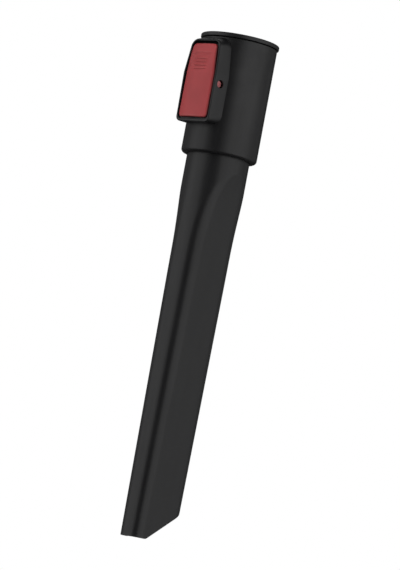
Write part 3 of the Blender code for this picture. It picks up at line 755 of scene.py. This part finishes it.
def lever_plate():
    """The lever's plate: a finely modelled face, its side walls, and a flat back."""
    rows = [[lever_point(y, z) for y in lever_columns(lever_half_width(z))] for z in lever_rows()]
    bm = bmesh.new()
    face = [[bm.verts.new(point) for point in row] for row in rows]
    for low, high in zip(face, face[1:]):
        for col in range(len(low) - 1):
            bm.faces.new((low[col], low[col + 1], high[col + 1], high[col]))
    outline = face[0] + [row[-1] for row in face[1:]] + face[-1][-2::-1] + [row[0] for row in face[-2:0:-1]]
    back = [bm.verts.new((PLATE_BACK, vert.co.y, vert.co.z)) for vert in outline]
    for i in range(len(outline)):
        bm.faces.new((outline[i - 1], outline[i], back[i], back[i - 1]))
    bm.faces.new(back)
    return object_from("release_lever_fine", bm)


def lever_additions():
    """The frame, lugs, hook, stop and spring boss behind the plate."""
    outer = plate_outline(-FRAME_INSET)
    ring = plate_prism("frame", [(FRAME_BACK, outer), (INSIDE_PLATE, outer)])
    inner = plate_outline(-FRAME_INSET - FRAME_WALL)
    hollow = plate_prism("hollow", [(FRAME_BACK - 1 * MM, inner), (INSIDE_PLATE + 1 * MM, inner)])
    boolean(ring, [hollow], "DIFFERENCE")
    made = [ring]
    for side in (-1, 1):
        ends = (side * LUG_INNER, side * LUG_OUTER)
        made.append(rod("lug", LUG_RADIUS, *[(PIVOT.x, y, PIVOT.z) for y in ends]))
        half_web = LUG_RADIUS - 0.1 * MM
        made.append(
            box(
                "web",
                (PIVOT.x, min(ends) + 0.1 * MM, PIVOT.z - half_web),
                (INSIDE_PLATE, max(ends) - 0.1 * MM, PIVOT.z + half_web),
            )
        )
    arm = rounded_outline(
        [
            (INSIDE_PLATE, HOOK_TOP, 0),
            (BORE_RADIUS + 0.2 * MM, HOOK_TOP, 0.4 * MM),
            (HOOK_NOSE, HOOK_TOP - 2.3 * MM, 0.4 * MM),
            (HOOK_NOSE, HOOK_BOTTOM, 0.4 * MM),
            (INSIDE_PLATE, HOOK_BOTTOM, 0),
        ]
    )
    made.append(side_prism("arm", arm, HOOK_HALF_WIDTH))
    made.append(
        box(
            "stop",
            (POCKET_FLOOR + GAP, -STOP_HALF_WIDTH, HOOK_BOTTOM + 1.2 * MM),
            (INSIDE_PLATE, STOP_HALF_WIDTH, HOOK_TOP - 1.2 * MM),
        )
    )
    boss_end = PLATE_BACK - SPRING_BOSS_LENGTH
    made.append(rod("boss", SPRING_BOSS_RADIUS, (boss_end, 0, SPRING_Z), (INSIDE_PLATE, 0, SPRING_Z)))
    return made


def make_lever():
    """The whole lever, with its lugs bored for the pin."""
    lever = lever_plate()
    boolean(lever, lever_additions(), "UNION")
    outside = LEVER_HALF_WIDTH + 2 * MM
    bore = rod("lug_bore", LUG_BORE_RADIUS, (PIVOT.x, -outside, PIVOT.z), (PIVOT.x, outside, PIVOT.z))
    boolean(lever, [bore], "DIFFERENCE")
    # Marks the sides, where the lever's material paints shade.
    mark_sides(lever.data)
    return lever


def make_pin():
    """The pin, with rounded rims and a shallow dimple in each end."""
    dimple_radius, dimple_depth = 0.9 * MM, 0.15 * MM
    half = [(PIN_RADIUS - inset, PIN_HALF_LENGTH - short) for inset, short in rim(PIN_EDGE)]
    for step in range(8):
        angle = math.pi / 2 * step / 8
        half.append((dimple_radius * math.cos(angle), PIN_HALF_LENGTH - dimple_depth * math.sin(angle)))
    profile = [(radius, -along) for radius, along in reversed(half)] + half
    angles = [2 * math.pi * step / 96 for step in range(96)]
    rings = [
        [(PIVOT.x + radius * math.cos(a), along, PIVOT.z + radius * math.sin(a)) for a in angles]
        for radius, along in profile
    ]
    return object_from("pivot_pin_fine", loft(rings))


def make_spring():
    """A compression coil with closed ends, as a swept round wire."""
    low = SPRING_LOW.x + WIRE_RADIUS
    high = SPRING_HIGH.x - WIRE_RADIUS
    mean_radius = SPRING_HIGH.z - SPRING_Z - WIRE_RADIUS
    closed = 1 / SPRING_TURNS
    lift = 2.2 * WIRE_RADIUS
    count = SPRING_TURNS * 48
    path = []
    for index in range(count + 1):
        share = index / count
        turn = 2 * math.pi * SPRING_TURNS * share
        if share < closed:
            x = low + lift * share / closed
        elif share > 1 - closed:
            x = high - lift * (1 - share) / closed
        else:
            x = low + lift + (high - low - 2 * lift) * (share - closed) / (1 - 2 * closed)
        path.append(Vector((x, mean_radius * math.cos(turn), SPRING_Z + mean_radius * math.sin(turn))))
    rings = []
    for index, point in enumerate(path):
        along = (path[min(index + 1, count)] - path[max(index - 1, 0)]).normalized()
        outward = (point - Vector((point.x, 0.0, SPRING_Z))).normalized()
        across = along.cross(outward)
        angles = [2 * math.pi * step / 12 for step in range(12)]
        rings.append([point + WIRE_RADIUS * (math.cos(a) * outward + math.sin(a) * across) for a in angles])
    return object_from("return_spring_fine", loft(rings))


# ---------------------------------------------------------------- materials


class Shader:
    """Short names for the nodes of one material."""

    def __init__(self, name):
        self.material = bpy.data.materials.new(name)
        self.material.use_nodes = True
        self.tree = self.material.node_tree
        self.surface = self.tree.nodes["Principled BSDF"]
        self.place = self.tree.nodes.new("ShaderNodeTexCoord").outputs["Object"]

    def node(self, kind, links=(), **settings):
        """A new node with its settings, and its inputs set or linked."""
        made = self.tree.nodes.new(kind)
        for key, value in settings.items():
            setattr(made, key, value)
        for socket, value in dict(links).items():
            self.feed(made.inputs[socket], value)
        return made

    def feed(self, socket, value):
        if isinstance(value, bpy.types.NodeSocket):
            self.tree.links.new(value, socket)
        else:
            socket.default_value = value

    def noise(self, scale, detail=3.0, stretch=(1, 1, 1)):
        """Noise whose grain is 1 / scale metres across, drawn out by stretch."""
        where = self.node("ShaderNodeMapping", {"Vector": self.place, "Scale": stretch}).outputs[0]
        links = {"Vector": where, "Scale": scale, "Detail": detail}
        return self.node("ShaderNodeTexNoise", links).outputs["Fac"]

    def ranged(self, value, from_low, from_high, low, high):
        links = {"Value": value, "From Min": from_low, "From Max": from_high, "To Min": low, "To Max": high}
        return self.node("ShaderNodeMapRange", links).outputs["Result"]

    def product(self, a, b):
        return self.node("ShaderNodeMath", {0: a, 1: b}, operation="MULTIPLY").outputs[0]

    def total(self, a, b):
        return self.node("ShaderNodeMath", {0: a, 1: b}, operation="ADD").outputs[0]

    def mix(self, share, first, second):
        """A blend of two colours, each a plain colour or another node's output."""
        first, second = (
            colour if isinstance(colour, bpy.types.NodeSocket) else (*colour, 1.0) for colour in (first, second)
        )
        return self.node("ShaderNodeMix", {"Factor": share, 6: first, 7: second}, data_type="RGBA").outputs[2]

    def bump(self, height, distance, strength, below=None):
        links = {"Height": height, "Distance": distance, "Strength": strength}
        if below:
            links["Normal"] = below
        return self.node("ShaderNodeBump", links).outputs["Normal"]


def moulded(name, colour, worn_and_highlight, roughness, grain=0.35, specular=0.5, painted_shade=None):
    """Moulded plastic: a fine etched grain, faint mottling and flow marks, and edges smoother and paler from wear,
    which on the red lever also serves as a painted highlight along its rims.

    Surfaces marked as sides take the painted shade colour, if there is one: painted shade on the lever's sides,
    for the shadow that falls in their narrow gap.
    """
    shader = Shader(name)
    surface = shader.surface.inputs
    mottle = shader.noise(70, 4.0)
    flow = shader.noise(260, 3.0, (1, 1, 0.12))
    etched = shader.noise(2600, 2.0)
    edge = shader.node("ShaderNodeAttribute", attribute_name="edge").outputs["Fac"]
    rubbed_and_highlit = shader.product(shader.ranged(edge, 0.35, 1.0, 0.0, 1.0), shader.ranged(mottle, 0.35, 0.7, 0.1, 1.0))
    darker = tuple(0.86 * channel for channel in colour)
    base = shader.mix(shader.ranged(mottle, 0.3, 0.7, 0.0, 1.0), darker, colour)
    # Paler edges: real wear, and on the red lever also a painted highlight along its rims.
    base = shader.mix(rubbed_and_highlit, base, worn_and_highlight)
    if painted_shade:
        # Painted shade: the lever's sides darken to a dark maroon, for the shadow in the narrow gap round the
        # lever.
        side = shader.node("ShaderNodeAttribute", attribute_name="side").outputs["Fac"]
        base = shader.mix(shader.ranged(side, 0.26, 0.66, 0.0, 1.0), base, painted_shade)
    shader.feed(surface["Base Color"], base)
    rough = shader.total(
        shader.ranged(flow, 0.25, 0.75, roughness - 0.035, roughness + 0.035),
        shader.product(rubbed_and_highlit, -0.06),
    )
    shader.feed(surface["Roughness"], rough)
    surface["Specular IOR Level"].default_value = specular
    soft = shader.bump(mottle, 0.05 * MM, 0.25)
    shader.feed(surface["Normal"], shader.bump(etched, 0.02 * MM, grain, soft))
    return shader.material


def rubber():
    """Dull black elastomer with a fine bloom."""
    shader = Shader("seal_rubber")
    surface = shader.surface.inputs
    bloom = shader.noise(400, 5.0)
    shader.feed(surface["Base Color"], shader.mix(shader.ranged(bloom, 0.3, 0.8, 0, 1), (0.012,) * 3, (0.03,) * 3))
    shader.feed(surface["Roughness"], shader.ranged(bloom, 0.3, 0.7, 0.72, 0.88))
    shader.feed(surface["Normal"], shader.bump(shader.noise(1800, 3.0), 0.03 * MM, 0.4))
    surface["Specular IOR Level"].default_value = 0.35
    return shader.material


def wire_steel():
    """Bright drawn wire, with die lines and a little tarnish."""
    shader = Shader("spring_steel")
    surface = shader.surface.inputs
    tarnish = shader.noise(500, 4.0)
    pale, dull = (0.62, 0.62, 0.64), (0.38, 0.37, 0.36)
    shader.feed(surface["Base Color"], shader.mix(shader.ranged(tarnish, 0.35, 0.75, 0, 1), pale, dull))
    shader.feed(surface["Roughness"], shader.ranged(tarnish, 0.3, 0.7, 0.22, 0.4))
    shader.feed(surface["Normal"], shader.bump(shader.noise(3000, 2.0, (1, 0.2, 0.2)), 0.01 * MM, 0.5))
    surface["Metallic"].default_value = 1.0
    return shader.material


def floor_paint():
    shader = Shader("floor")
    surface = shader.surface.inputs
    cloudy = shader.noise(3, 2.0)
    shader.feed(surface["Base Color"], shader.mix(shader.ranged(cloudy, 0.3, 0.7, 0, 1), (0.8,) * 3, (0.84,) * 3))
    surface["Roughness"].default_value = 0.9
    return shader.material


# ---------------------------------------------------------------- stage, light and camera


def make_floor():
    """A plain round floor, below the camera's view and left out of reflections, which keeps undersides dark."""
    floor = object_from("floor", loft([circle(4.0, z, 96) for z in (-0.46, -0.45)]))
    floor.data.materials.append(floor_paint())
    floor.visible_glossy = False


def softbox(name, azimuth, elevation, distance, size, radiance, glossy=True):
    """A rectangular light facing the tool. Its azimuth counts from the camera's, towards the picture's right."""
    light = bpy.data.lights.new(name, "AREA")
    light.shape = "RECTANGLE"
    light.size, light.size_y = size
    light.energy = radiance * math.pi * size[0] * size[1]
    turn, rise = AZIMUTH + math.radians(azimuth), math.radians(elevation)
    away = Vector((math.cos(rise) * math.cos(turn), math.cos(rise) * math.sin(turn), math.sin(rise)))
    lamp = bpy.data.objects.new(name, light)
    facing = away.to_track_quat("Z", "Y").to_matrix().to_4x4()
    lamp.matrix_world = Matrix.Translation(AIM + distance * away) @ facing
    lamp.visible_glossy = glossy
    lamp.visible_camera = False
    bpy.context.scene.collection.objects.link(lamp)


def make_world(backdrop, ambient):
    """White behind the tool, and a dim even light from all round it."""
    world = bpy.data.worlds.new("studio")
    world.use_nodes = True
    tree = world.node_tree
    shade = tree.nodes["Background"]
    shade.inputs["Color"].default_value = (ambient, ambient, ambient, 1)
    white = tree.nodes.new("ShaderNodeBackground")
    white.inputs["Color"].default_value = (backdrop, backdrop, backdrop, 1)
    ray = tree.nodes.new("ShaderNodeLightPath")
    mix = tree.nodes.new("ShaderNodeMixShader")
    tree.links.new(ray.outputs["Is Camera Ray"], mix.inputs[0])
    tree.links.new(shade.outputs[0], mix.inputs[1])
    tree.links.new(white.outputs[0], mix.inputs[2])
    tree.links.new(mix.outputs[0], tree.nodes["World Output"].inputs["Surface"])
    bpy.context.scene.world = world


def place_camera():
    """A long lens a little below the tool, turned so that the tool leans in the picture."""
    back = Vector((math.cos(BELOW) * math.cos(AZIMUTH), math.cos(BELOW) * math.sin(AZIMUTH), -math.sin(BELOW)))
    level_right = Vector((-math.sin(AZIMUTH), math.cos(AZIMUTH), 0.0))
    level_up = back.cross(level_right)
    right = math.cos(LEAN) * level_right + math.sin(LEAN) * level_up
    up = back.cross(right)
    camera = bpy.data.objects.new("camera", bpy.data.cameras.new("camera"))
    camera.data.lens = LENS
    camera.data.sensor_width = 36.0
    camera.data.clip_start = 0.05
    camera.data.clip_end = 20.0
    turn = Matrix((right, up, back)).transposed().to_4x4()
    camera.matrix_world = Matrix.Translation(AIM + DISTANCE * back) @ turn
    bpy.context.scene.collection.objects.link(camera)
    bpy.context.scene.camera = camera


def light_scene():
    """Two wide softboxes with dimmer wings beyond them, a fill for the lever and a light from behind."""
    side_lights = [
        ("right_softbox", 48, 2.5, 0.46),
        ("right_softbox_long", 56, 3.33, 0.4),
        ("right_wing", 117.5, 1.33, 0.18),
        ("left_softbox", -74, 1.92, 0.79),
        ("left_wing", -125, 1.17, 0.14),
    ]
    for name, azimuth, width, radiance in side_lights:
        softbox(name, azimuth, 0, SIDE_DISTANCE, (width, SIDE_HEIGHT), radiance)
    softbox("lever_fill", -40, 57, 1.8, (1.2, 1.2), 2.55, glossy=False)
    softbox("back_softbox", 180, 55, 2.0, (1.6, 1.0), 0.8)
    make_world(1.0, 0.045)
    view = bpy.context.scene.view_settings
    view.view_transform = "Standard"
    view.look = "None"


def main():
    place_camera()
    light_scene()
    make_floor()
    blacks = (0.012, 0.012, 0.013), (0.02, 0.02, 0.021)
    nozzle_black = moulded("nozzle_plastic", *blacks, 0.4)
    collar_black = moulded("collar_plastic", *blacks, 0.4)
    reds = (0.52, 0.055, 0.06), (0.6, 0.12, 0.12)
    # The lever's sides take a painted shade of dark maroon.
    red = moulded("lever_plastic", *reds, 0.4, grain=0.2, painted_shade=(0.11, 0.008, 0.01))
    # The pin's red is paler than the lever's: a painted highlight on its small ends.
    pin_red_painted_highlight = moulded("pin_plastic", (0.66, 0.17, 0.18), (0.7, 0.3, 0.3), 0.3, grain=0.1)
    seal = rubber()
    place(make_nozzle(), nozzle_black, "tool", "nozzle")
    place(make_collar(), collar_black, "tool", "collar")
    place(make_sleeve(), collar_black, "tool", "mouth_sleeve")
    place(make_seal(), seal, "tool", "socket_seal")
    place(make_gasket(), seal, "tool", "nozzle_gasket")
    spring = make_spring()
    place(spring, wire_steel(), "tool", "return_spring", 50.0)
    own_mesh(spring)
    place(make_lever(), red, "lever", "release_lever")
    place(make_pin(), pin_red_painted_highlight, "lever", "pivot_pin")


main()
